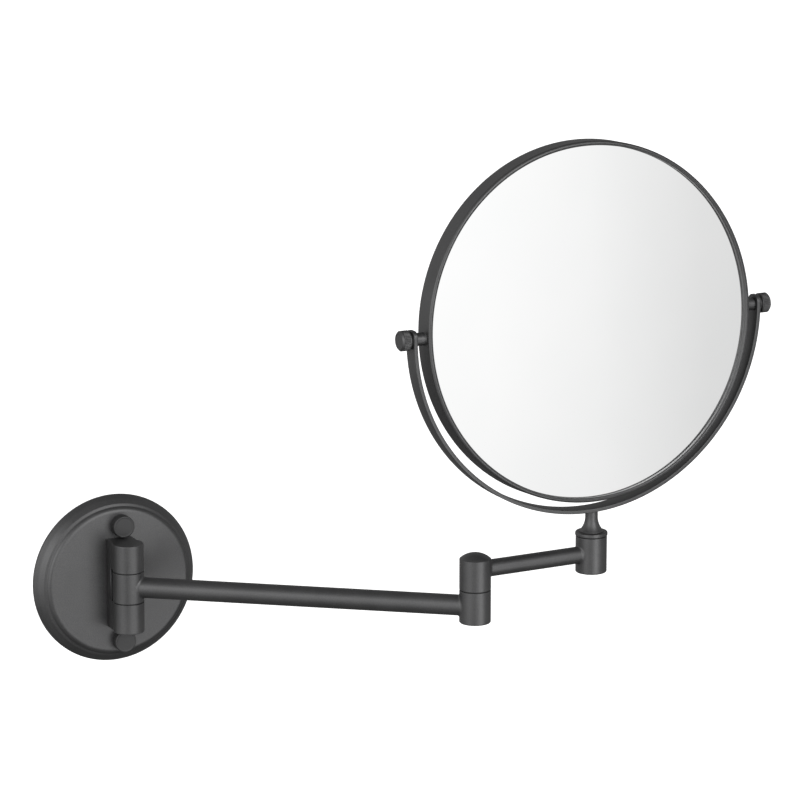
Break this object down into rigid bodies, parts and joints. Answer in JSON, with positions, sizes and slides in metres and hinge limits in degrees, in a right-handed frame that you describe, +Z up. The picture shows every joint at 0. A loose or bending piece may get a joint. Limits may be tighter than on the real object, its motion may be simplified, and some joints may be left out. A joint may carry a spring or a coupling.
{
  "type": "wall-mounted extendable shaving mirror",
  "caption": "Wall-mounted round two-sided mirror in a half-round yoke, on a folding tube arm with barrel hinges and a round wall plate.",
  "frame": {"origin": "centre of the round wall plate's back face, which lies on the wall", "axes": "+Y into the wall, +X to the right when facing the wall, +Z up"},
  "size_m": [0.4025, 0.154, 0.3101],
  "materials": {
    "graphite_coat": "satin dark grey powder coat",
    "mirror_glass": "silvered glass",
    "bare_steel": "zinc-plated",
    "brass_bush": "machined",
    "black_nylon": "matte",
    "grey_spacer": "moulded"
  },
  "bodies": {
    "wall_mount": {"wall_bracket": "bare_steel", "bracket_studs": "bare_steel", "rosette": "graphite_coat", "cap_nuts": "graphite_coat", "bracket_screws": "bare_steel", "hinge_bracket": "graphite_coat", "hinge_pin": "bare_steel"},
    "main_arm": {"middle_knuckle": "graphite_coat", "hinge_bush": "brass_bush", "hinge_washers": "black_nylon", "main_tube": "graphite_coat", "elbow_lower_barrel": "graphite_coat", "elbow_bush": "brass_bush"},
    "short_arm": {"elbow_upper_barrel": "graphite_coat", "elbow_pin": "bare_steel", "elbow_spring_washer": "bare_steel", "elbow_washer": "black_nylon", "short_tube": "graphite_coat", "end_barrel": "graphite_coat", "swivel_bush": "brass_bush", "barrel_end_cap": "graphite_coat"},
    "head": {"head_stem": "graphite_coat", "swivel_collar": "graphite_coat", "swivel_washer": "black_nylon", "wave_washer": "bare_steel", "retaining_washer": "bare_steel", "retaining_screw": "bare_steel", "yoke": "graphite_coat", "outer_pivot_washers": "black_nylon"},
    "mirror": {"frame_ring": "graphite_coat", "rear_bezel": "graphite_coat", "front_mirror": "mirror_glass", "magnifying_mirror": "mirror_glass", "glass_spacer": "grey_spacer", "pivot_bosses": "graphite_coat", "inner_pivot_washers": "black_nylon"},
    "right_knob": {"knob_right": "graphite_coat"},
    "left_knob": {"knob_left": "graphite_coat"}
  },
  "joints": [
    {"name": "wall_hinge", "type": "hinge", "parent": "wall_mount", "child": "main_arm", "pos_m": [0, -0.0243, 0.0006], "axis": [0, 0, 1], "range_deg": [-143.5, 36.5]},
    {"name": "elbow_hinge", "type": "hinge", "parent": "main_arm", "child": "short_arm", "pos_m": [0.16278, -0.14475, 0.01], "axis": [0, 0, 1], "continuous": true},
    {"name": "head_swivel", "type": "hinge", "parent": "short_arm", "child": "head", "pos_m": [0.23894, -0.14009, 0.032], "axis": [0, 0, 1], "continuous": true},
    {"name": "mirror_tilt", "type": "hinge", "parent": "head", "child": "mirror", "pos_m": [0.23444, -0.14019, 0.1574], "axis": [0.9998, 0.0209, 0], "continuous": true},
    {"name": "right_knob_turn", "type": "hinge", "parent": "mirror", "child": "right_knob", "pos_m": [0.23444, -0.14019, 0.1574], "axis": [0.9998, 0.0209, 0], "range_deg": [-360, 0]},
    {"name": "left_knob_turn", "type": "hinge", "parent": "mirror", "child": "left_knob", "pos_m": [0.23444, -0.14019, 0.1574], "axis": [0.9998, 0.0209, 0], "range_deg": [0, 360]}
  ]
}
